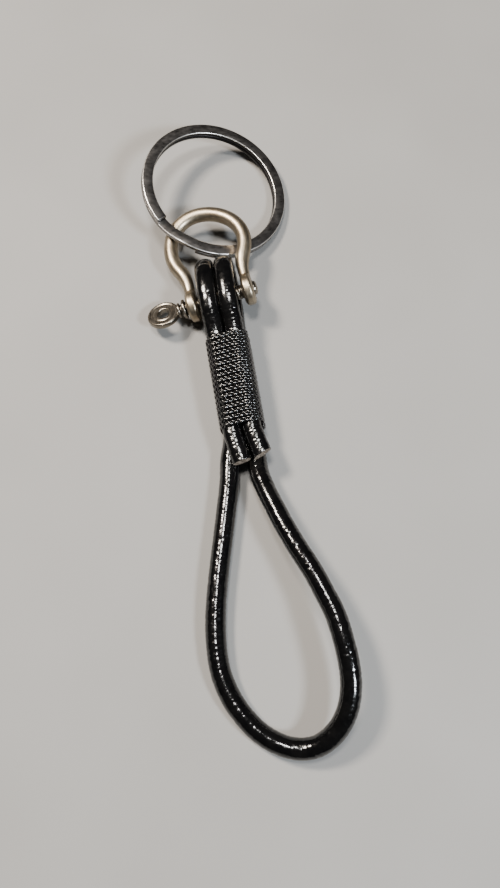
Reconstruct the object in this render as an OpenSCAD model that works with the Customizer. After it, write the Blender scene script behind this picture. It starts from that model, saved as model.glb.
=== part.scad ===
// Leather wristlet keychain: a round-cord wrist loop whipped to a screw-pin bow shackle with a split ring.
// Millimetres, +Z up from the surface it lies on. +Y runs from the wrist loop to the key ring.
// +X runs along the shackle pin, from its flat eye to its tip.
// The origin is on that surface, in the middle of the box round everything but the wrist loop.

/* [Key ring] */
// Outer diameter of the split ring
ring_od = 32; // [31.5:0.5:33]
// Width of the flat wire, measured along the radius
ring_band_w = 2.3; // [1.9:0.1:2.4]
// Thickness of one of the two layers of wire
ring_layer_t = 1; // [0.8:0.05:1]

/* [Shackle] */
// Diameter of the bow's wire
bow_wire_d = 3.1; // [2.8:0.1:3.2]
// Diameter of the necks between the legs and the ears
bow_neck_d = 2.3; // [2:0.1:2.6]
// Radius of the round of the bow, to the middle of its wire
bow_r = 8; // [7.8:0.1:8.2]
// Distance from the pin to the middle of the bow's round
bow_rise = 12.5; // [12.4:0.1:13]
// How far the top of the bow leans to the left
bow_lean = 0.9; // [0:0.1:1]
// Gap between the two ears
jaw_gap = 9.7; // [9.6:0.1:10]
// Diameter of an ear
ear_d = 6.6; // [6.2:0.1:7]
// Thickness of an ear
ear_t = 2.4; // [2.2:0.1:2.6]

/* [Screw pin] */
// Diameter of the pin's shank
pin_d = 3; // [2.6:0.1:3]
// Diameter of the flat eye at the pin's head
eye_d = 7; // [6.4:0.1:7.2]
// Thickness of the flat eye
eye_t = 1.3; // [1.1:0.1:1.5]
// Diameter of the hole in the flat eye
eye_hole_d = 2.6; // [2.4:0.1:3.2]

/* [Leather cord] */
// Diameter of the round cord
cord_d = 4; // [3.8:0.05:4]

/* [Whipping] */
// Length of the stretch bound with thread
whip_l = 20.7; // [18:0.1:21]
// Thickness that the thread adds on each side
thread_t = 0.55; // [0.4:0.05:0.6]

/* [Hidden] */
$fn = 64;
eps = 0.01;

// How the metal lies: the pin's middle, and the shackle's roll about Y, right side up, and its turn about Z
pin_pos = [-1.8, -2.7, 5.45];
shackle_roll = 10;
shackle_turn = 2.3;
// The split ring's tilts about X and Y, and its middle: it lies over the bow's left leg and under the right one
ring_tilt = [4, 16.5, 0];
ring_pos = [1.7, 7.1 + ring_od / 2, 1.056 + ring_od / 2 * sin(ring_tilt[1])];
// How the strap lies: rolled like the shackle, sloping down to the whipping's lower end, turned the other way
strap_roll = 10;
strap_pitch = 2.5;
strap_turn = -2.1;
strap_pos = pin_pos - [0.15, 0, 0];

// Split ring: where the upper layer's cut end is, how far the wire takes to step down, and the gap after it
ring_start = 209;
ring_step_turn = 30;
ring_end_gap = 6;
ring_chamfer = 0.15;
ring_layer_gap = 0.04;
ring_stations = 96;
ring_turns = 720 - ring_step_turn - ring_end_gap;

// Shackle: the bow's round meets a reverse bend at this angle below its middle. The bend leads to the ear
bow_open = 27;
bend_steps = 4;
round_steps = 36;
bow_sides = 20;
ear_mid = (jaw_gap + ear_t) / 2;
bend_r = (bow_r * cos(bow_open) - ear_mid) / (1 - cos(bow_open));
bend_pos = [(bow_r + bend_r) * cos(bow_open), bow_rise - (bow_r + bend_r) * sin(bow_open), 0];
ear_round = 0.8;
neck_l = 5;
bore_play = 0.06;

// Screw pin: its parts along the pin's axis
ear_out = jaw_gap / 2 + ear_t;
collar_x = -ear_out - 1.1;
collar_t = 0.7;
collar_d = pin_d + 1;
neck_x = -ear_out - 3;
eye_x = -ear_out - 5.35;
eye_turn = -23;
pin_tip = ear_out + 0.7;

// Strap: how the cord's section changes from the whipping to the eye
whip_top = -8.8;
whip_end = whip_top - whip_l;
cord_r = cord_d / 2;
strand_w = cord_r - 0.05;
strand_t = cord_r - 0.43;
strand_u = strand_w + 0.06;
strand_lift = strand_t + 0.06;
eye_w = 2;
eye_thick = 1.5;
eye_u = 2.06;
eye_lift = 3.45;
eye_mid = 0.4;
eye_reach = 7.4;
opening_start = whip_top - 0.7;
opening_l = 8.8;
stub_lean = 0.175;
stub_spread = 0.033;

// Where the wrist loop bends beyond the cut ends: the middles of its two legs
hinge_left = [-7.6, -41.5, 2.05];
hinge_right = [-1.4, -41.5, 3.7];

// The wrist loop's route, from the left leg round the bottom to the right leg
loop_route = [
    hinge_left, [-9.1, -46.5, 2.05], [-10.7, -51.5, 2.05], [-12.3, -56.5, 2.05], [-13.8, -61.5, 2.05],
    [-15.1, -66.5, 2.05], [-15.9, -71.5, 2.05], [-16.1, -76, 2.05], [-15.5, -80, 2.05], [-14, -84, 2.05],
    [-11.5, -88, 2.05], [-8.3, -91, 2.1], [-5, -92.6, 2.4], [-2, -92.9, 3.1], [0.8, -92, 4.2],
    [3.4, -90, 5.4], [5.4, -87.1, 6.6], [6.6, -83.5, 7.6], [7, -79.5, 8.3], [6.9, -75.5, 8.6],
    [6.5, -71, 8.6], [5.4, -66.5, 8.4], [4.1, -62, 8], [2.5, -57.5, 7.3], [1.1, -53, 6.5],
    [0.1, -49, 5.6], [-0.8, -45, 4.7], hinge_right];

// The two legs from the whipping to the bend, under the cut ends
left_leg = [[-5.6, -34.3, 2.15], [-6.4, -36.3, 2.05], [-6.9, -38.2, 2.05], [-7.1, -39.1, 2.05]];
right_leg = [[-0.75, -34.3, 2.6], [-1.1, -36.3, 2.5], [-1.3, -38, 2.8], [-1.35, -39.1, 3.1]];

// Smooth step from 0 to 1
function ease(x) = let(t = min(max(x, 0), 1)) t * t * (3 - 2 * t);
// Value between a and b
function mix(a, b, t) = a + (b - a) * t;
// A vector of length 1
function unit(v) = v / norm(v);
// Direction of a path at one of its points
function along(path, i) = unit(path[min(i + 1, len(path) - 1)] - path[max(i - 1, 0)]);
// Turns a vector about X, then about Y, then about Z
function turned(p, ax, ay, az) =
    let(y = p[1] * cos(ax) - p[2] * sin(ax), z = p[1] * sin(ax) + p[2] * cos(ax),
        x = p[0] * cos(ay) + z * sin(ay))
    [x * cos(az) - y * sin(az), x * sin(az) + y * cos(az), z * cos(ay) - p[0] * sin(ay)];
// A direction given along the pin, along the strap and out of its face, as it lies
function strap_way(v) = turned(v, strap_pitch, -strap_roll, strap_turn);
// A point given in the same way
function on_strap(p) = strap_pos + strap_way(p);

// A tube along a path: half widths along ref and half thicknesses across it, one of each per point
module sweep(path, wide, thick, ref, sides) {
    rings = [for (i = [0 : len(path) - 1])
        let(t = along(path, i), s = unit(ref - t * (ref * t)), n = cross(t, s))
        for (k = [0 : sides - 1])
            let(a = 360 * (k + 0.5) / sides)
            path[i] + s * wide[i] * cos(a) + n * thick[i] * sin(a)];
    sides_f = [for (i = [0 : len(path) - 2]) for (k = [0 : sides - 1])
        let(j = (k + 1) % sides)
        each [[i * sides + k, (i + 1) * sides + j, i * sides + j],
              [i * sides + k, (i + 1) * sides + k, (i + 1) * sides + j]]];
    first = [for (k = [0 : sides - 1]) k];
    last = [for (k = [sides - 1 : -1 : 0]) (len(path) - 1) * sides + k];
    polyhedron(points = rings, faces = concat(sides_f, [first], [last]), convexity = 8);
}

// The flat wire's section as points along the radius and up, with its edges taken off
function wire_section(w, t, c) = [
    [w - c, -t], [w, c - t], [w, t - c], [w - c, t], [c - w, t], [-w, t - c], [-w, c - t], [c - w, -t]];

module split_ring() {
    half_w = ring_band_w / 2;
    half_t = (ring_layer_t - ring_layer_gap) / 2;
    section = wire_section(half_w, half_t, ring_chamfer);
    corners = len(section);
    points = [for (i = [0 : ring_stations])
        let(turn = ring_turns * i / ring_stations,
            drop = ease((turn - 360 + ring_step_turn) / ring_step_turn),
            up = ring_layer_t * (0.5 - drop),
            a = ring_start - turn)
        for (p = section)
            let(r = ring_od / 2 - half_w + p[0])
            [r * cos(a), r * sin(a), up + p[1]]];
    walls = [for (i = [0 : ring_stations - 1]) for (k = [0 : corners - 1])
        let(j = (k + 1) % corners)
        each [[i * corners + k, (i + 1) * corners + j, i * corners + j],
              [i * corners + k, (i + 1) * corners + k, (i + 1) * corners + j]]];
    first = [for (k = [0 : corners - 1]) k];
    last = [for (k = [corners - 1 : -1 : 0]) ring_stations * corners + k];
    color("dimgray")
        translate(ring_pos) rotate(ring_tilt)
            polyhedron(points = points, faces = concat(walls, [first], [last]), convexity = 8);
}

// Places a shape made round the pin: X along the pin, Y towards the bow's crown
module in_shackle() {
    translate(pin_pos) rotate([0, -shackle_roll, shackle_turn]) children();
}

// An ear on the right side, with its bore
module ear() {
    difference() {
        translate([jaw_gap / 2, 0, 0]) rotate([0, 90, 0]) rotate_extrude() ear_profile();
        translate([jaw_gap / 2 - 1, 0, 0]) rotate([0, 90, 0])
            cylinder(h = ear_t + 2, r = pin_d / 2 + bore_play);
    }
}

// Half section of an ear with rounded edges
module ear_profile() {
    square([ear_d / 2 - ear_round, ear_t]);
    translate([0, ear_round]) square([ear_d / 2, ear_t - 2 * ear_round]);
    for (y = [ear_round, ear_t - ear_round])
        translate([ear_d / 2 - ear_round, y]) circle(r = ear_round);
}

module shackle_bow() {
    leg = concat([[ear_mid, ear_d / 2 - 0.5, 0]],
                 [for (i = [0 : bend_steps - 1])
                     let(a = bow_open * i / bend_steps)
                     bend_pos + bend_r * [-cos(a), sin(a), 0]]);
    round = [for (i = [0 : round_steps])
        let(a = -bow_open + (180 + 2 * bow_open) * i / round_steps)
        [bow_r * cos(a) - bow_lean * pow(max(sin(a), 0), 2), bow_rise + bow_r * sin(a), 0]];
    other_leg = [for (i = [len(leg) - 1 : -1 : 0]) [-leg[i][0], leg[i][1], 0]];
    wire = concat(leg, round, other_leg);
    // Each leg narrows to its neck over neck_l from the ear
    radii = [for (p = wire) mix(bow_neck_d, bow_wire_d, ease((p[1] - ear_d / 2) / neck_l)) / 2];
    color("silver") in_shackle() {
        sweep(wire, radii, radii, [0, 0, 1], bow_sides);
        ear();
        mirror([1, 0, 0]) ear();
    }
}

// A cylinder along the pin's axis
module along_pin(x, h, d) {
    translate([x, 0, 0]) rotate([0, 90, 0]) cylinder(h = h, d = d);
}

module shackle_pin() {
    color("gainsboro") in_shackle() {
        along_pin(collar_x, pin_tip - collar_x, pin_d);
        along_pin(collar_x, collar_t, collar_d);
        difference() {
            union() {
                along_pin(neck_x, collar_x - neck_x + eps, eye_t * 1.5);
                translate([eye_x, 0, 0]) rotate([eye_turn, 0, 0])
                    cylinder(h = eye_t, d = eye_d, center = true);
            }
            translate([eye_x, 0, 0]) rotate([eye_turn, 0, 0])
                cylinder(h = eye_t * 3, d = eye_hole_d, center = true);
        }
    }
}

// How far a place along the strap has opened from the whipping's section to the eye's
function opened(v) = ease((v - opening_start) / opening_l);
// A strand's distances from the strap's middle: along the pin, and out of the strap's face
function across(v) = mix(strand_u, eye_u, opened(v));
function lift(v) = mix(strand_lift, eye_lift, opened(v));
// How far a cut end leans to the right beyond the whipping, the right one more than the left one
function cut_lean(v, side) = (stub_lean + side * stub_spread) * max(whip_end - v, 0);

// Half of the cord's eye: up the front from its cut end, over the pin, down the back and out to the loop.
// side is -1 for the left strand and 1 for the right one
module eye_strand(side, cut_end, leg) {
    front_v = concat([cut_end, mix(cut_end, whip_end, 0.5)],
                     [for (i = [0 : 3]) mix(whip_end, whip_top - 1, i / 3)],
                     [for (i = [1 : 6]) mix(whip_top - 1, eye_mid, i / 7)]);
    back_v = [for (i = [len(front_v) - 1 : -1 : 2]) front_v[i]];
    fold = [for (a = [90 : -22.5 : -90]) [side * eye_u, eye_mid + eye_reach * cos(a), eye_lift * sin(a)]];
    front = [for (v = front_v) [side * across(v) + cut_lean(v, side), v, lift(v)]];
    back = [for (v = back_v) [side * across(v), v, -lift(v)]];
    path = concat([for (p = concat(front, fold, back)) on_strap(p)], leg);
    wide = concat([for (v = front_v) mix(strand_w, eye_w, opened(v))],
                  [for (p = fold) eye_w],
                  [for (v = back_v) mix(strand_w, eye_w, opened(v))],
                  [for (p = leg) cord_r]);
    thick = concat([for (v = front_v) mix(strand_t, eye_thick, opened(v))],
                   [for (p = fold) eye_thick],
                   [for (v = back_v) mix(strand_t, eye_thick, opened(v))],
                   [for (p = leg) cord_r]);
    color([0.06, 0.06, 0.06]) sweep(path, wide, thick, strap_way([1, 0, 0]), 12);
}

module left_eye_strand() {
    eye_strand(-1, -35.8, left_leg);
}

module right_eye_strand() {
    eye_strand(1, -35.1, right_leg);
}

// A rectangle with rounded corners about the origin
module rounded_rect(w, h, r) {
    square([w, h - 2 * r], center = true);
    square([w - 2 * r, h], center = true);
    for (x = [r - w / 2, w / 2 - r]) for (y = [r - h / 2, h / 2 - r]) translate([x, y]) circle(r = r);
}

module whipping() {
    inner_w = 2 * (strand_u + strand_w) + 0.1;
    inner_h = 2 * (strand_lift + strand_t) + 0.1;
    color([0.1, 0.1, 0.11])
        translate(strap_pos) rotate([strap_pitch, -strap_roll, strap_turn])
            translate([0, whip_top, 0]) rotate([90, 0, 0]) linear_extrude(whip_l)
                difference() {
                    rounded_rect(inner_w + 2 * thread_t, inner_h + 2 * thread_t, 3.2);
                    rounded_rect(inner_w, inner_h, 1.5);
                }
}

module wrist_loop() {
    // Each end is rounded about the point that it bends at
    cap = [70, 40, 15];
    n = len(loop_route) - 1;
    start_dir = along(loop_route, 0);
    end_dir = along(loop_route, n);
    path = concat([for (a = cap) loop_route[0] - start_dir * cord_r * sin(a)], loop_route,
                  [for (i = [2 : -1 : 0]) loop_route[n] + end_dir * cord_r * sin(cap[i])]);
    radii = concat([for (a = cap) cord_r * cos(a)], [for (p = loop_route) cord_r],
                   [for (i = [2 : -1 : 0]) cord_r * cos(cap[i])]);
    color([0.05, 0.05, 0.05]) sweep(path, radii, radii, [0, 0, 1], 8);
}

split_ring();
shackle_bow();
shackle_pin();
left_eye_strand();
right_eye_strand();
whipping();
wrist_loop();
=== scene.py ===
"""A leather wristlet keychain: a whipped cord loop, a screw-pin bow shackle and a flat split ring.

Shapes are worked out in millimetres, and new_piece() turns them into metres. The cord's route is in metres.
"""
import math

import bpy
import numpy as np
from mathutils import Matrix, Vector


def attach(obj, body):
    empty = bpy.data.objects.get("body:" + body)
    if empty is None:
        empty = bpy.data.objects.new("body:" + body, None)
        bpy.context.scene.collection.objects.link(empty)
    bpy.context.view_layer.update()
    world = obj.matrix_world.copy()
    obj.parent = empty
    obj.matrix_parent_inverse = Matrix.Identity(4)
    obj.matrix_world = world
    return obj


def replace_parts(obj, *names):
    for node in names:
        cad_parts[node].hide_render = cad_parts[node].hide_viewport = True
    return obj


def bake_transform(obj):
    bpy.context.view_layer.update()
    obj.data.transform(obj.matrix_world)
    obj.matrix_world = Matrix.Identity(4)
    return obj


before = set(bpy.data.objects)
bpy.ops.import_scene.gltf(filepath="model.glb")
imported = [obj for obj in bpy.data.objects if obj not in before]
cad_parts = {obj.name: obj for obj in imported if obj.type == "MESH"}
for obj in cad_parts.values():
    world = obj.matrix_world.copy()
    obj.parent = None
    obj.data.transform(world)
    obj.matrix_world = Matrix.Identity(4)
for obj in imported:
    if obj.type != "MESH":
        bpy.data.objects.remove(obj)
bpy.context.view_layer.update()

MM = 0.001


def rotation(axis, degrees):
    """The matrix that turns a column of points about that axis."""
    return np.array(Matrix.Rotation(math.radians(degrees), 3, axis))


# How the pieces lie, as in the CAD model
PIN_POS = np.array([-1.8, -2.7, 5.45])
SHACKLE_TURN = rotation("Z", 2.3) @ rotation("Y", -10)
STRAP_POS = PIN_POS - [0.15, 0, 0]
STRAP_TURN = rotation("Z", -2.1) @ rotation("Y", -10) @ rotation("X", 2.5)
RING_POS = np.array([1.7, 23.1, 5.6])
RING_TURN = rotation("Y", 16.5) @ rotation("X", 4)

# Leather cord, and how it is squeezed under the whipping (STRAND) and in the eye round the pin (EYE): half
# its width W and thickness T, its distance U to the side and its height LIFT above the strap's middle
CORD_R, CORD_SIDES = 2.0, 48
STRAND_W, STRAND_T = CORD_R - 0.05, CORD_R - 0.43
STRAND_U, STRAND_LIFT = STRAND_W + 0.06, STRAND_T + 0.06
EYE_W, EYE_T = 2.0, 1.5
EYE_U, EYE_LIFT = 2.06, 3.45
# The eye's round end starts this far along the strap, and reaches this far beyond
EYE_MID, EYE_REACH = 0.4, 7.4
# The corners of its section are slightly squared
EYE_SQUARE = 0.9
# How far the cut ends lean to the right for each millimetre beyond the whipping, and how they part
STUB_LEAN, STUB_SPREAD = 0.175, 0.033

# Whipping: where it starts and ends along the strap, where the strands open out above it, and its thread
WHIP_TOP, WHIP_END = -8.8, -29.5
OPENING_START, OPENING_L = WHIP_TOP - 0.7, 8.8
THREAD_T = 0.55
WHIP_TURNS = 17
WHIP_PLAY, WHIP_CORNER_R = 0.05, 2.9

# Shackle
BOW_WIRE_R, BOW_R, BOW_RISE, BOW_OPEN = 1.55, 8.0, 12.5, 27
BOW_NECK_R, NECK_L, BOW_LEAN = 1.15, 5, 0.9
JAW_GAP, EAR_T, EAR_R = 9.7, 2.4, 3.3
EAR_OUT = JAW_GAP / 2 + EAR_T
EAR_MID = (JAW_GAP + EAR_T) / 2
BORE_R = 1.56

# Screw pin, and its flat eye
PIN_R = 1.5
PIN_TIP = EAR_OUT + 0.7
THREAD_PITCH, THREAD_DEPTH = 0.5, 0.2
PIN_EYE_X = -EAR_OUT - 5.35
PIN_EYE_TILT = rotation("X", -23)
PIN_EYE_R, PIN_EYE_T, PIN_EYE_HOLE_R = 3.5, 1.3, 1.3
GROOVE_DEPTH = 0.13

# Split ring. In degrees: where its wire starts, how long the step between layers is, and its whole turn
RING_OUT_R, RING_BAND, RING_LAYER = 16.0, 2.3, 1.0
RING_GAP, RING_BEVEL = 0.04, 0.2
RING_START, RING_STEP, RING_TURNS = 209, 30, 720 - 30 - 6

# The free cord's route in metres, from the left leg round the bottom to the right leg
CORD_ROUTE = [
    (-0.0056, -0.0343, 0.00215), (-0.0064, -0.0363, 0.00205), (-0.0069, -0.0382, 0.00205),
    (-0.0071, -0.0391, 0.00205), (-0.0076, -0.0415, 0.00205), (-0.0091, -0.0465, 0.00205),
    (-0.0107, -0.0515, 0.00205), (-0.0123, -0.0565, 0.00205), (-0.0138, -0.0615, 0.00205),
    (-0.0151, -0.0665, 0.00205), (-0.0159, -0.0715, 0.00205), (-0.0161, -0.076, 0.00205),
    (-0.0155, -0.08, 0.00205), (-0.014, -0.084, 0.00205), (-0.0115, -0.088, 0.00205),
    (-0.0083, -0.091, 0.0021), (-0.005, -0.0926, 0.0024), (-0.002, -0.0929, 0.0031),
    (0.0008, -0.092, 0.0042), (0.0034, -0.09, 0.0054), (0.0054, -0.0871, 0.0066),
    (0.0066, -0.0835, 0.0076), (0.007, -0.0795, 0.0083), (0.0069, -0.0755, 0.0086),
    (0.0065, -0.071, 0.0086), (0.0054, -0.0665, 0.0084), (0.0041, -0.062, 0.008),
    (0.0025, -0.0575, 0.0073), (0.0011, -0.053, 0.0065), (0.0001, -0.049, 0.0056),
    (-0.0008, -0.045, 0.0047), (-0.0014, -0.0415, 0.0037), (-0.00135, -0.0391, 0.0031),
    (-0.0013, -0.038, 0.0028), (-0.0011, -0.0363, 0.0025), (-0.00075, -0.0343, 0.0026)]


# ---------- Shapes ----------

def unit(v):
    """The same directions, one unit long."""
    return v / np.linalg.norm(v, axis=-1, keepdims=True)


def mix(a, b, t):
    """From a where t is 0 to b where it is 1."""
    return a + (b - a) * t


def ease(x):
    """From 0 to 1 as x goes from 0 to 1, starting and ending gently."""
    t = np.clip(x, 0, 1)
    return t * t * (3 - 2 * t)


def on_strap(points):
    """Points along the pin, along the strap and out of its face, as they lie."""
    return STRAP_POS + np.asarray(points, float) @ STRAP_TURN.T


def on_shackle(points):
    """Points along the pin, towards the bow's crown and out of its face, as they lie."""
    return PIN_POS + np.asarray(points, float) @ SHACKLE_TURN.T


def lengths(path):
    """The distance along a path at each of its points."""
    return np.concatenate([[0], np.cumsum(np.linalg.norm(np.diff(path, axis=0), axis=1))])


def resampled(path, step):
    """The same path with its points evenly spaced."""
    s = lengths(path)
    even = np.linspace(0, s[-1], int(s[-1] / step) + 1)
    return np.stack([np.interp(even, s, path[:, k]) for k in range(3)], axis=1)


def smooth_path(points, step, reach):
    """A Catmull-Rom curve through the points, evened out over a length of reach on each side."""
    p = np.asarray(points, float)
    p = np.vstack([2 * p[0] - p[1], p, 2 * p[-1] - p[-2]])
    per_span = 20
    t = np.linspace(0, 1, per_span, endpoint=False)[:, None]
    curve = [0.5 * (2 * b + (c - a) * t + (2 * a - 5 * b + 4 * c - d) * t ** 2
                    + (3 * b - a - 3 * c + d) * t ** 3)
             for a, b, c, d in zip(p, p[1:], p[2:], p[3:])]
    curve = resampled(np.vstack(curve + [p[-2:-1]]), step)
    n = int(reach / step)
    weights = np.hanning(2 * n + 3)[1:-1]
    before = 2 * curve[0] - curve[n:0:-1]
    after = 2 * curve[-1] - curve[-2:-n - 2:-1]
    padded = np.vstack([before, curve, after])
    return np.stack([np.convolve(padded[:, k], weights / weights.sum(), "valid") for k in range(3)], axis=1)


def sweep(path, wide, thick, ref, sides, square=1.0):
    """Rings of points along a path: half widths along ref and half thicknesses across it.

    A square of 1 makes an oval section, and a smaller one squares its corners.
    """
    ahead = unit(np.gradient(path, axis=0))
    side = unit(ref - ahead * np.sum(ahead * ref, axis=1, keepdims=True))
    normal = np.cross(ahead, side)
    a = 2 * np.pi * (np.arange(sides) + 0.5) / sides
    c = np.sign(np.cos(a)) * np.abs(np.cos(a)) ** square
    s = np.sign(np.sin(a)) * np.abs(np.sin(a)) ** square
    wide = np.broadcast_to(wide, len(path))[:, None, None]
    thick = np.broadcast_to(thick, len(path))[:, None, None]
    return (path[:, None] + side[:, None] * wide * c[None, :, None]
            + normal[:, None] * thick * s[None, :, None])


def grid_faces(rows, columns, closed=False):
    """Four-sided faces of a tube of rings. A closed tube's last ring joins its first."""
    i, k = np.meshgrid(np.arange(rows if closed else rows - 1), np.arange(columns), indexing="ij")
    j, i2 = (k + 1) % columns, (i + 1) % rows
    faces = np.stack([i * columns + k, i2 * columns + k, i2 * columns + j, i * columns + j], axis=-1)
    return [tuple(face) for face in faces.reshape(-1, 4).tolist()]


def capped_tube(rings):
    """Points and faces of a tube with a flat cap on each end. The caps are the last two faces."""
    rows, columns = rings.shape[:2]
    faces = grid_faces(rows, columns)
    faces.append(tuple(range(columns)))
    faces.append(tuple(range(rows * columns - 1, (rows - 1) * columns - 1, -1)))
    return rings.reshape(-1, 3), faces


def revolved(profile, segments=64):
    """Points and faces of a closed profile (radius, height) turned about the X axis."""
    profile = np.asarray(profile, float)
    a = 2 * np.pi * np.arange(segments) / segments
    r, x = profile[:, 0], profile[:, 1]
    along = np.broadcast_to(x, (segments, len(x)))
    points = np.stack([along, np.outer(np.cos(a), r), np.outer(np.sin(a), r)], axis=-1)
    return points.reshape(-1, 3), grid_faces(segments, len(profile), closed=True)


def joined(*shapes):
    """One list of points and faces out of several."""
    points, faces = [], []
    for p, f in shapes:
        start = sum(len(q) for q in points)
        points.append(p)
        faces += [tuple(i + start for i in face) for face in f]
    return np.vstack(points), faces


def lattice_noise(x, y, columns, seed):
    """Smooth noise from 0 to 1 with cells one unit long, repeating round y after that many columns."""
    rows = 401
    table = np.random.default_rng(seed).random((rows, columns))
    xi, yi = np.floor(x).astype(int), np.floor(y).astype(int)
    tx, ty = ease(x - xi), ease(y - yi)
    low = mix(table[xi % rows, yi % columns], table[(xi + 1) % rows, yi % columns], tx)
    high = mix(table[xi % rows, (yi + 1) % columns], table[(xi + 1) % rows, (yi + 1) % columns], tx)
    return mix(low, high, ty)


def creases(along, turn, cell, columns, width, seed):
    """From 0 on smooth leather to 1 in the bottom of a crease. turn is from 0 to 1 round the cord."""
    n = lattice_noise(along / cell, turn * columns, columns, seed)
    return np.clip(1 - np.abs(2 * n - 1) / width, 0, 1) ** 1.5


def push(rings, path, amount):
    """Moves each point of a tube's rings away from its path."""
    out = rings - path[:, None]
    return rings + unit(out) * amount[..., None]


def in_scene(name, data):
    """A new object with that mesh, light or camera."""
    thing = bpy.data.objects.new(name, data)
    bpy.context.scene.collection.objects.link(thing)
    return thing


def new_piece(name, points, faces, materials, face_materials=None):
    """A smooth-shaded mesh object from points in millimetres."""
    mesh = bpy.data.meshes.new(name)
    mesh.from_pydata((np.asarray(points) * MM).tolist(), [], faces)
    for material in materials:
        mesh.materials.append(material)
    if face_materials is not None:
        mesh.polygons.foreach_set("material_index", np.asarray(face_materials, np.int32))
    mesh.polygons.foreach_set("use_smooth", np.ones(len(mesh.polygons), bool))
    mesh.validate()
    return in_scene(name, mesh)


def fuse(piece, voxel, smoothing):
    """Makes one closed skin out of a piece's overlapping shapes, with soft joins. voxel is in millimetres."""
    remesh = piece.modifiers.new("fuse", "REMESH")
    remesh.mode = "VOXEL"
    remesh.voxel_size = voxel * MM
    remesh.use_smooth_shade = True
    smooth = piece.modifiers.new("soften", "SMOOTH")
    smooth.iterations = smoothing
    smooth.factor = 0.5
    bpy.context.view_layer.update()
    evaluated = piece.evaluated_get(bpy.context.evaluated_depsgraph_get())
    mesh = bpy.data.meshes.new_from_object(evaluated)
    for material in piece.data.materials:
        if material.name not in mesh.materials:
            mesh.materials.append(material)
    piece.modifiers.clear()
    piece.data = mesh


# ---------- Materials ----------

class Nodes:
    """Adds shader nodes to a new material and joins them."""

    def __init__(self, name):
        self.material = bpy.data.materials.new(name)
        self.material.use_nodes = True
        self.tree = self.material.node_tree
        self.shader = self.tree.nodes["Principled BSDF"]
        self.place = self.add("ShaderNodeTexCoord").outputs["Object"]

    def add(self, kind, **settings):
        node = self.tree.nodes.new(kind)
        for key, value in settings.items():
            setattr(node, key, value)
        return node

    def join(self, output, target):
        self.tree.links.new(output, target)

    def noise(self, size, detail, roughness=0.5, place=None):
        """Noise with features of about size millimetres, from 0 to 1."""
        node = self.add("ShaderNodeTexNoise")
        node.inputs["Scale"].default_value = 1 / (size * MM)
        node.inputs["Detail"].default_value = detail
        node.inputs["Roughness"].default_value = roughness
        self.join(place or self.place, node.inputs["Vector"])
        return node.outputs["Fac"]

    def ramp(self, value, *stops):
        """A colour ramp with (position, colour) stops. A number stands for a grey."""
        node = self.add("ShaderNodeValToRGB")
        elements = node.color_ramp.elements
        while len(elements) < len(stops):
            elements.new(0.5)
        for element, (position, colour) in zip(elements, stops):
            element.position = position
            element.color = (colour, colour, colour, 1) if isinstance(colour, (int, float)) else (*colour, 1)
        self.join(value, node.inputs["Fac"])
        return node.outputs["Color"]

    def bump(self, height, depth, strength, before=None):
        """A bump of that depth in millimetres, on top of another one."""
        node = self.add("ShaderNodeBump")
        node.inputs["Distance"].default_value = depth * MM
        node.inputs["Strength"].default_value = strength
        self.join(height, node.inputs["Height"])
        if before is not None:
            self.join(before, node.inputs["Normal"])
        return node.outputs["Normal"]

    def stretched(self, scale):
        """The place with its axes scaled, for streaks along the axis with the smallest scale."""
        node = self.add("ShaderNodeMapping")
        node.inputs["Scale"].default_value = scale
        self.join(self.place, node.inputs["Vector"])
        return node.outputs["Vector"]

    def mixed(self, factor, a, b):
        """Colour a where factor is 0 and colour b where it is 1."""
        node = self.add("ShaderNodeMix", data_type="RGBA")
        for socket, value in ((node.inputs[6], a), (node.inputs[7], b)):
            if isinstance(value, tuple):
                socket.default_value = (*value, 1)
            else:
                self.join(value, socket)
        self.join(factor, node.inputs[0])
        return node.outputs[2]

    def crevices(self, reach):
        """From 0 in a corner narrower than reach millimetres to 1 in the open."""
        node = self.add("ShaderNodeAmbientOcclusion", samples=8)
        node.inputs["Distance"].default_value = reach * MM
        return node.outputs["AO"]

    def mark(self, name):
        """A number that the mesh holds at each of its points."""
        return self.add("ShaderNodeAttribute", attribute_name=name).outputs["Fac"]


def leather():
    """Shiny black cord with a fine grain."""
    n = Nodes("black_leather")
    n.shader.inputs["Specular IOR Level"].default_value = 0.4
    n.shader.inputs["Coat Weight"].default_value = 0.3
    n.shader.inputs["Coat Roughness"].default_value = 0.08
    patches = n.noise(2.5, 4)
    n.join(n.ramp(patches, (0.3, (0.001, 0.001, 0.0012)), (0.75, (0.003, 0.0029, 0.0029))),
           n.shader.inputs["Base Color"])
    n.join(n.ramp(n.noise(0.5, 3), (0.3, 0.09), (0.7, 0.22)), n.shader.inputs["Roughness"])
    grain = n.add("ShaderNodeTexVoronoi", feature="F1")
    grain.inputs["Scale"].default_value = 1 / (0.28 * MM)
    n.join(n.place, grain.inputs["Vector"])
    fine = n.bump(n.noise(0.12, 2), 0.012, 0.6)
    n.join(n.bump(grain.outputs["Distance"], 0.024, 0.4, fine), n.shader.inputs["Normal"])
    return n.material


def raw_leather():
    """The cord's cut core: pale fibres with dark gaps between them."""
    n = Nodes("raw_leather")
    fibres = n.noise(0.22, 5, 0.7)
    gap, middle, pale = (0.02, 0.015, 0.011), (0.16, 0.12, 0.088), (0.46, 0.39, 0.31)
    n.join(n.ramp(fibres, (0.38, gap), (0.5, middle), (0.66, pale)), n.shader.inputs["Base Color"])
    n.shader.inputs["Roughness"].default_value = 0.85
    n.join(n.bump(fibres, 0.12, 0.9), n.shader.inputs["Normal"])
    return n.material


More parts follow.
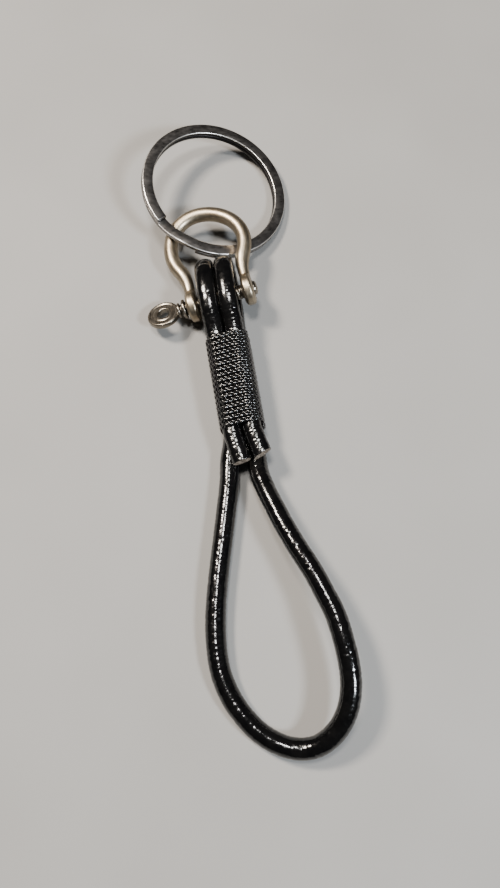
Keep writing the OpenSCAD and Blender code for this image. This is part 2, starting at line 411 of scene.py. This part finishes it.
def waxed_thread():
    """Black thread with the small sharp glints of wax."""
    n = Nodes("waxed_thread")
    n.join(n.ramp(n.noise(1.1, 3), (0.3, (0.0012, 0.0012, 0.0014)), (0.7, (0.0032, 0.003, 0.003))),
           n.shader.inputs["Base Color"])
    n.join(n.ramp(n.noise(0.3, 3), (0.3, 0.14), (0.75, 0.30)), n.shader.inputs["Roughness"])
    n.shader.inputs["Specular IOR Level"].default_value = 0.4
    n.shader.inputs["Coat Weight"].default_value = 0.4
    n.shader.inputs["Coat Roughness"].default_value = 0.12
    n.join(n.bump(n.noise(0.12, 3), 0.008, 0.5), n.shader.inputs["Normal"])
    return n.material


def metal(name, dark, light, rough, smooth, corner_shade, scratched):
    """Plated metal: colour from dark to light in soft patches, painted shade in its corners, hairline
    scratches.
    """
    n = Nodes(name)
    n.shader.inputs["Metallic"].default_value = 1.0
    colour = n.ramp(n.noise(2.2, 5), (0.3, dark), (0.7, light))
    # Painted shade: narrow corners found by ambient occlusion turn to the given dark shade colour.
    corners = n.ramp(n.crevices(0.9), (0.35, 0.0), (0.85, 1.0))
    n.join(n.mixed(corners, corner_shade, colour), n.shader.inputs["Base Color"])
    streaks = n.noise(0.35, 4, 0.6, n.stretched((1, 0.18, 0.6)))
    n.join(n.ramp(streaks, (0.3, smooth), (0.75, rough)), n.shader.inputs["Roughness"])
    grain = n.bump(n.noise(0.16, 3), 0.01, scratched)
    n.join(n.bump(streaks, 0.012, scratched, grain), n.shader.inputs["Normal"])
    return n.material


def ring_metal():
    """Dark plate: wire edges rubbed bright with a painted highlight, painted shade on the inner wall, faces
    lightly scratched.
    """
    n = Nodes("black_nickel")
    n.shader.inputs["Metallic"].default_value = 1.0
    plate = n.ramp(n.noise(1.8, 5), (0.3, (0.15, 0.14, 0.132)), (0.7, (0.30, 0.283, 0.27)))
    # Painted shade: the wall inside the ring is coloured near black. The bright edge colour is partly rubbed
    # metal and partly a painted highlight.
    shaded_wall_colour, bright_edge = (0.012, 0.011, 0.011), (0.80, 0.77, 0.73)
    colour = n.mixed(n.mark("inner_wall_shade"), plate, shaded_wall_colour)
    rub_and_highlight = n.add("ShaderNodeMath", operation="MULTIPLY")
    n.join(n.mark("edge"), rub_and_highlight.inputs[0])
    n.join(n.ramp(n.noise(2.5, 3), (0.25, 0.6), (0.6, 1.0)), rub_and_highlight.inputs[1])
    n.join(n.mixed(rub_and_highlight.outputs[0], colour, bright_edge), n.shader.inputs["Base Color"])
    streaks = n.noise(0.5, 4, 0.6, n.stretched((0.3, 1, 1)))
    n.join(n.ramp(streaks, (0.3, 0.26), (0.75, 0.40)), n.shader.inputs["Roughness"])
    n.join(n.bump(streaks, 0.004, 0.4), n.shader.inputs["Normal"])
    return n.material


def floor_paint():
    n = Nodes("pale_floor")
    n.join(n.ramp(n.noise(40, 2), (0.3, (0.215, 0.209, 0.199)), (0.7, (0.235, 0.229, 0.219))),
           n.shader.inputs["Base Color"])
    n.shader.inputs["Roughness"].default_value = 0.7
    return n.material


# ---------- Camera ----------

def camera():
    """Looks down on the object from the wrist loop's end, rolled so that the strap leans to the left."""
    place = Vector((-0.0112, -0.0807, 0.1568))
    aim = Vector((-0.0018, -0.03365, 0))
    up_on_table = Vector((0.198, 0.980, 0))
    data = bpy.data.cameras.new("camera")
    data.sensor_fit = "VERTICAL"
    data.sensor_height = 36
    data.lens = 32.43
    data.clip_start = 0.005
    cam = in_scene("camera", data)
    back = (place - aim).normalized()
    right = up_on_table.cross(back).normalized()
    up = back.cross(right)
    cam.matrix_world = Matrix.Translation(place) @ Matrix((right, up, back)).transposed().to_4x4()
    bpy.context.scene.camera = cam


# ---------- Leather ----------

def leather_wrinkles(rings, path, seed, depth, fine_cell, coarse_cell):
    """Creases a tube of leather: fine ones across it, coarser ones that part its shine, and slow lumps."""
    along = lengths(path)[:, None]
    turn = (np.arange(rings.shape[1]) / rings.shape[1])[None, :]
    wavy, lump_cell, lump_height = 0.25, 2.7, 0.06
    fine = creases(along + wavy * np.sin(2 * np.pi * turn), turn, fine_cell, columns=4, width=0.35, seed=seed)
    coarse = creases(along, turn, coarse_cell, columns=6, width=0.3, seed=seed + 1)
    lumps = lattice_noise(along / lump_cell, turn * 3, columns=3, seed=seed + 2) - 0.5
    return push(rings, path, -depth * fine - 1.3 * depth * coarse + lump_height * lumps)


def wrist_cord():
    """The wrist loop. Both its ends run on inside the whipping, where they join the eye's back strands."""
    deep_v, shallow_v = WHIP_END + 5, WHIP_END + 2
    left_end = on_strap([[-STRAND_U, v, -STRAND_LIFT] for v in (deep_v, shallow_v)])
    right_end = on_strap([[STRAND_U, v, -STRAND_LIFT] for v in (shallow_v, deep_v)])
    path = smooth_path(np.vstack([left_end, np.array(CORD_ROUTE) / MM, right_end]), step=0.16, reach=2.0)
    rings = sweep(path, CORD_R, CORD_R, np.array([0, 0, 1.0]), CORD_SIDES)
    rings = leather_wrinkles(rings, path, seed=11, depth=0.035, fine_cell=0.55, coarse_cell=1.4)
    piece = new_piece("wrist_cord", *capped_tube(rings), [LEATHER])
    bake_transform(piece)
    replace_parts(piece, "wrist_loop")


def opened(v):
    """How far a place along the strap has opened from the whipping's section to the eye's."""
    return ease((v - OPENING_START) / OPENING_L)


def cut_lean(v, side):
    """How far a cut end leans to the right beyond the whipping, the right one more than the left one."""
    return (STUB_LEAN + side * STUB_SPREAD) * np.maximum(WHIP_END - v, 0)


def cut_end(rings, slant, seed):
    """Rings from the middle of a cut end to near its rim, and how far the slant moves each point of the rim.

    The cut slants across the strap, and a little through it. Its fibres stand up unevenly.
    """
    tilt, fibre_height, rim_fibre_height, bulge_height = 0.03, 0.09, 0.03, 0.12
    rim = rings[0]
    middle = rim.mean(axis=0)
    outward = unit(rings[0].mean(axis=0) - rings[4].mean(axis=0))
    rng = np.random.default_rng(seed)
    shares = [0.93, 0.84, 0.7, 0.5, 0.25, 0.06]
    rows = []
    for share in shares:
        fibres = rng.normal(0, fibre_height if share < 0.9 else rim_fibre_height, len(rim))
        bulge = bulge_height * (1 - share ** 2)
        rows.append(middle + (rim - middle) * share + outward * (fibres + bulge)[:, None])
    cap = np.array(rows[::-1])
    plane = slant * STRAP_TURN[:, 0] + tilt * STRAP_TURN[:, 2]
    lean = (cap - middle) @ plane
    return cap + outward * lean[..., None], outward * ((rim - middle) @ plane)[:, None]


def eye_strand(name, side, end_v, slant, seed):
    """Half of the eye: from its cut end up the front, round the pin and down the back into the whipping."""
    step = 0.15
    front_v = np.arange(end_v, EYE_MID, step)
    fold = np.radians(np.arange(90, -90.1, -2.5))
    back_v = np.arange(EYE_MID, WHIP_END + 4, -step)
    v = np.concatenate([front_v, EYE_MID + EYE_REACH * np.cos(fold), back_v])
    open_share = np.concatenate([opened(front_v), np.ones(len(fold)), opened(back_v)])
    # From 1 on the strap's front to -1 on its back
    front = np.concatenate([np.ones(len(front_v)), np.sin(fold), -np.ones(len(back_v))])
    u = side * mix(STRAND_U, EYE_U, open_share)
    u[:len(front_v)] += cut_lean(front_v, side)
    path = on_strap(np.stack([u, v, front * mix(STRAND_LIFT, EYE_LIFT, open_share)], axis=1))
    wide = mix(STRAND_W, EYE_W, open_share)
    thick = mix(STRAND_T, EYE_T, open_share)
    rings = sweep(path, wide, thick, STRAP_TURN[:, 0], CORD_SIDES, EYE_SQUARE)
    rings = leather_wrinkles(rings, path, seed, depth=0.045, fine_cell=0.8, coarse_cell=1.1)
    cap, lean = cut_end(rings, slant, seed)
    slanted_rings, slant_reach = 8, 1.2
    fade = (1 - ease(lengths(path)[:slanted_rings] / slant_reach))[:, None, None]
    rings[:slanted_rings] += fade * lean[None]
    points, faces = capped_tube(np.vstack([cap, rings]))
    leather_slot, core_slot = 0, 1
    face_materials = np.full(len(faces), leather_slot)
    face_materials[:(len(cap) - 1) * CORD_SIDES] = core_slot
    face_materials[-2] = core_slot
    piece = new_piece(name, points, faces, [LEATHER, RAW_LEATHER], face_materials)
    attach(piece, "strap")
    return piece


# ---------- Whipping ----------

def rounded_rect_path(w, h, r, turns, step):
    """Points round a rounded rectangle for that many turns.

    With each point go its outward normal, its distance along the path and its count of turns.
    """
    corners = [(w / 2 - r, h / 2 - r, 0), (r - w / 2, h / 2 - r, 90), (r - w / 2, r - h / 2, 180),
               (w / 2 - r, r - h / 2, 270)]
    points, normals = [], []
    for x, y, start in corners:
        for a in np.radians(np.linspace(start, start + 90, 24)):
            normals.append((math.cos(a), math.sin(a)))
            points.append((x + r * math.cos(a), y + r * math.sin(a)))
    points, normals = np.array(points + points[:1]), np.array(normals + normals[:1])
    s = lengths(points)
    around = np.arange(0, turns * s[-1], step)
    spot = around % s[-1]
    at = np.stack([np.interp(spot, s, points[:, k]) for k in range(2)], axis=1)
    facing = unit(np.stack([np.interp(spot, s, normals[:, k]) for k in range(2)], axis=1))
    return at, facing, around, around / s[-1]


def whipping():
    """Turns of waxed thread, each a flat braid of three plies."""
    half_w = STRAND_U + STRAND_W + WHIP_PLAY + THREAD_T / 2
    half_h = STRAND_LIFT + STRAND_T + WHIP_PLAY + THREAD_T / 2
    at, facing, along, turn = rounded_rect_path(2 * half_w, 2 * half_h, WHIP_CORNER_R, WHIP_TURNS, step=0.11)
    pitch = (WHIP_TOP - WHIP_END) / (WHIP_TURNS + 1)
    middle_v = WHIP_TOP - pitch / 2 - pitch * turn
    plies, braid_length, across, height = 3, 3.3, 0.32, 0.11
    shapes = []
    for ply in range(plies):
        phase = 2 * np.pi * (along / braid_length + ply / plies)
        out = height * np.sin(2 * phase)
        v = middle_v + across * np.sin(phase)
        spot = at + facing * out[:, None]
        path = on_strap(np.stack([spot[:, 0], v, spot[:, 1]], axis=1))
        shapes.append(capped_tube(ply_rings(path, facing)))
    points, faces = joined(*shapes)
    piece = new_piece("thread_whipping", points, faces, [THREAD])
    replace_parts(piece, "whipping")
    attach(piece, "strap")


def ply_rings(path, facing, half_width=0.27, half_height=0.17, sides=10):
    """Rings of a flat ply whose face is turned outward everywhere."""
    outward = np.stack([facing[:, 0], np.zeros(len(facing)), facing[:, 1]], axis=1) @ STRAP_TURN.T
    ahead = unit(np.gradient(path, axis=0))
    side = unit(np.cross(outward, ahead))
    normal = np.cross(ahead, side)
    a = 2 * np.pi * np.arange(sides) / sides
    return (path[:, None] + side[:, None] * half_width * np.cos(a)[None, :, None]
            + normal[:, None] * half_height * np.sin(a)[None, :, None])


# ---------- Metal ----------

def split_ring():
    """Nearly two turns of bevelled flat wire, which steps down from the upper layer to the lower one.

    The mark "edge" is on the bevels on the outside of the two layers, rubbed bright and painted as highlight,
    and the inner wall's mark is on the wall inside the ring, which the material paints dark as shade.
    """
    half_w, half_t, bevel = RING_BAND / 2, (RING_LAYER - RING_GAP) / 2, RING_BEVEL
    corner = [(half_w - bevel * (1 - math.sin(a)), half_t - bevel * (1 - math.cos(a)))
              for a in np.radians([0, 30, 60, 90])]
    corners = ((1, 1, 1), (1, -1, -1), (-1, -1, 1), (-1, 1, -1))
    section = np.array([(x * sx, y * sy) for sx, sy, order in corners for x, y in corner[::order]])
    bevelled = np.tile([0, 1, 1, 0], len(corners))
    turn = np.linspace(0, RING_TURNS, 600)
    drop = ease((turn - 360 + RING_STEP) / RING_STEP)
    up = RING_LAYER * (0.5 - drop)
    outside = np.clip(0.5 + np.outer(up, np.sign(section[:, 1])) / RING_LAYER, 0, 1)
    # Edge marks: rubbed bright metal that also paints a highlight along the bevels, kept faint on the inner
    # underside.
    inner_underside_rub_and_highlight = 0.1
    rubbed_and_highlit = bevelled * outside * np.where((section[:, 0] < 0) & (section[:, 1] < 0), inner_underside_rub_and_highlight, 1.0)
    # Painted shade: the inner wall, apart from its bright bevels, is marked to be coloured dark.
    inner_shade = np.where(section[:, 0] < 0.9 * bevel - half_w, 1 - rubbed_and_highlit, 0)
    a = np.radians(RING_START - turn)[:, None]
    r = RING_OUT_R - half_w + section[None, :, 0]
    rings = np.stack([r * np.cos(a), r * np.sin(a), up[:, None] + section[None, :, 1]], axis=-1)
    points, faces = capped_tube(rings[:, ::-1])
    piece = new_piece("key_split_ring", RING_POS + points @ RING_TURN.T, faces, [RING_METAL])
    for name, values in (("edge", rubbed_and_highlit), ("inner_wall_shade", inner_shade)):
        marks = piece.data.attributes.new(name, "FLOAT", "POINT")
        marks.data.foreach_set("value", values[:, ::-1].ravel().astype(np.float32))
    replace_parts(piece, "split_ring")
    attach(piece, "key_ring")


def bow_wire():
    """The bow's round wire from ear to ear. Each leg narrows to a neck above its ear."""
    c, s = math.cos(math.radians(BOW_OPEN)), math.sin(math.radians(BOW_OPEN))
    bend_r = (BOW_R * c - EAR_MID) / (1 - c)
    middle_x, middle_y = (BOW_R + bend_r) * c, BOW_RISE - (BOW_R + bend_r) * s
    sunk = 0.6
    straight = [(EAR_MID, y, 0) for y in np.linspace(EAR_R - sunk, middle_y, 12, endpoint=False)]
    bend = [(middle_x - bend_r * math.cos(a), middle_y + bend_r * math.sin(a), 0)
            for a in np.radians(np.linspace(0, BOW_OPEN, 20, endpoint=False))]
    leg = np.array(straight + bend)
    a = np.radians(np.linspace(-BOW_OPEN, 180 + BOW_OPEN, 121))
    crown_x = BOW_R * np.cos(a) - BOW_LEAN * np.maximum(np.sin(a), 0) ** 2
    crown = np.stack([crown_x, BOW_RISE + BOW_R * np.sin(a), 0 * a], axis=1)
    path = np.vstack([leg, crown, leg[::-1] * [-1, 1, 1]])
    along = lengths(path)
    from_end = np.minimum(along, along[-1] - along)
    radius = mix(BOW_NECK_R, BOW_WIRE_R, ease((from_end - sunk) / NECK_L))
    return capped_tube(sweep(path, radius, radius, np.array([0, 0, 1.0]), 32))


def ear(side):
    """A bored ear, forged thicker in the middle than at its rim."""
    lip, lip_drop, rim_half, rim_land = 0.2, 0.15, 0.55, 0.3
    r = np.concatenate([[BORE_R], np.linspace(BORE_R + lip, EAR_R, 12)])
    dome = np.sqrt(np.clip(1 - ((r - BORE_R) / (EAR_R - BORE_R)) ** 2.4, 0, 1))
    half = rim_half + (EAR_T / 2 - rim_half) * dome
    half[0] = EAR_T / 2 - lip_drop
    rim = [(EAR_R, rim_land), (EAR_R, -rim_land)]
    profile = list(zip(r, half)) + rim + list(zip(r[::-1], -half[::-1]))
    return revolved([(radius, side * EAR_MID + x) for radius, x in profile])


def shackle():
    """The bow and its two ears as one forging."""
    points, faces = joined(bow_wire(), ear(-1), ear(1))
    piece = new_piece("bow_shackle", on_shackle(points), faces, [NICKEL])
    fuse(piece, voxel=0.11, smoothing=6)
    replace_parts(piece, "shackle_bow")
    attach(piece, "shackle")


def groove(face):
    """A shallow turned groove in a face of the pin's flat eye: inwards on the face 1 and outwards on -1."""
    middle, top_half, floor_half = (PIN_EYE_R + PIN_EYE_HOLE_R) / 2 + 0.05, 0.5, 0.3
    top, bottom = PIN_EYE_T / 2, PIN_EYE_T / 2 - GROOVE_DEPTH
    points = [(middle + top_half, top), (middle + floor_half, bottom),
              (middle - floor_half, bottom), (middle - top_half, top)]
    return [(r, face * x) for r, x in points[::face]]


def screw_pin():
    """Shank with thread crests, collar, ridge, neck and the flat eye with its hole."""
    chamfer = 0.7
    profile = [(0, PIN_TIP + 0.05), (0.9, PIN_TIP), (1.35, PIN_TIP - 0.25), (PIN_R, PIN_TIP - chamfer)]
    x = PIN_TIP - chamfer
    collar = -EAR_OUT - 0.35
    crest = 0.2 * THREAD_PITCH
    while x - THREAD_PITCH > collar:
        profile += [(PIN_R, x - crest), (PIN_R - THREAD_DEPTH, x - THREAD_PITCH / 2),
                    (PIN_R, x - THREAD_PITCH + crest)]
        x -= THREAD_PITCH
    profile += [(PIN_R - 0.15, collar), (2.0, collar - 0.1), (2.05, collar - 0.4), (1.9, collar - 0.65)]
    profile += [(1.15, collar - 0.8), (1.15, collar - 1.15), (1.6, collar - 1.3), (1.6, collar - 1.65)]
    profile += [(1.1, collar - 1.85), (1.05, PIN_EYE_X + PIN_EYE_R - 0.4), (0, PIN_EYE_X + PIN_EYE_R - 0.5)]
    shank = revolved(profile, 48)
    bead = [(math.cos(a), math.sin(a)) for a in np.radians(np.arange(-90, 91, 30))]
    half = PIN_EYE_T / 2
    r = 0.35
    rim = [(PIN_EYE_R - r + r * c, (half - r) * np.sign(s) + r * s) for c, s in bead]
    r = 0.25
    hole = [(PIN_EYE_HOLE_R + r - r * c, (half - r) * np.sign(s) + r * s) for c, s in bead[::-1]]
    disc, disc_faces = revolved(rim + groove(1) + hole + groove(-1), 72)
    upright = rotation("Y", -90)
    disc = np.array([PIN_EYE_X, 0, 0]) + disc @ upright.T @ PIN_EYE_TILT.T
    points, faces = joined(shank, (disc, disc_faces))
    piece = new_piece("screw_pin", on_shackle(points), faces, [STEEL])
    fuse(piece, voxel=0.09, smoothing=3)
    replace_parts(piece, "shackle_pin")
    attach(piece, "screw_pin")


# ---------- Floor and light ----------

def floor():
    reach = 1.5
    corners = [(-reach, -reach, 0), (reach, -reach, 0), (reach, reach, 0), (-reach, reach, 0)]
    mesh = bpy.data.meshes.new("floor")
    mesh.from_pydata(corners, [], [(0, 1, 2, 3)])
    mesh.materials.append(floor_paint())
    piece = in_scene("floor", mesh)


def area_light(name, place, size, power, colour):
    """A square light aimed at the middle of the object."""
    data = bpy.data.lights.new(name, "AREA")
    data.shape = "SQUARE"
    data.size = size
    data.energy = power
    data.color = colour
    light = in_scene(name, data)
    light.location = place
    aim = Vector((-0.003, -0.03, 0))
    light.rotation_euler = (aim - Vector(place)).to_track_quat("-Z", "Y").to_euler()


def lights():
    """A warm light from the upper left, a cool one from the lower right, a white one above and a dim room."""
    area_light("warm_light", (-0.24, 0.20, 0.44), size=0.10, power=6.2, colour=(1.0, 0.90, 0.79))
    area_light("cool_light", (0.25, -0.30, 0.38), size=0.08, power=3.9, colour=(0.86, 0.93, 1.0))
    area_light("overhead", (-0.03, 0.05, 0.6), size=0.10, power=3.1, colour=(1.0, 0.98, 0.95))
    world = bpy.data.worlds.new("room")
    world.use_nodes = True
    background = world.node_tree.nodes["Background"]
    background.inputs["Color"].default_value = (0.42, 0.42, 0.43, 1)
    background.inputs["Strength"].default_value = 0.07
    bpy.context.scene.world = world


# ---------- The object ----------

LEATHER = leather()
RAW_LEATHER = raw_leather()
THREAD = waxed_thread()
# The last colour given to each metal is the painted shade for its corners.
NICKEL = metal("antique_nickel", dark=(0.25, 0.205, 0.145), light=(0.38, 0.325, 0.245),
               rough=0.44, smooth=0.32, corner_shade=(0.04, 0.03, 0.022), scratched=0.5)
STEEL = metal("bright_steel", dark=(0.16, 0.138, 0.108), light=(0.29, 0.258, 0.215),
              rough=0.42, smooth=0.24, corner_shade=(0.03, 0.025, 0.02), scratched=0.7)
RING_METAL = ring_metal()

camera()
wrist_cord()
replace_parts(eye_strand("left_cord_eye", side=-1, end_v=-35.8, slant=-0.03, seed=21), "left_eye_strand")
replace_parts(eye_strand("right_cord_eye", side=1, end_v=-35.1, slant=-0.2, seed=31), "right_eye_strand")
whipping()
split_ring()
shackle()
screw_pin()
floor()
lights()

bpy.context.view_layer.update()
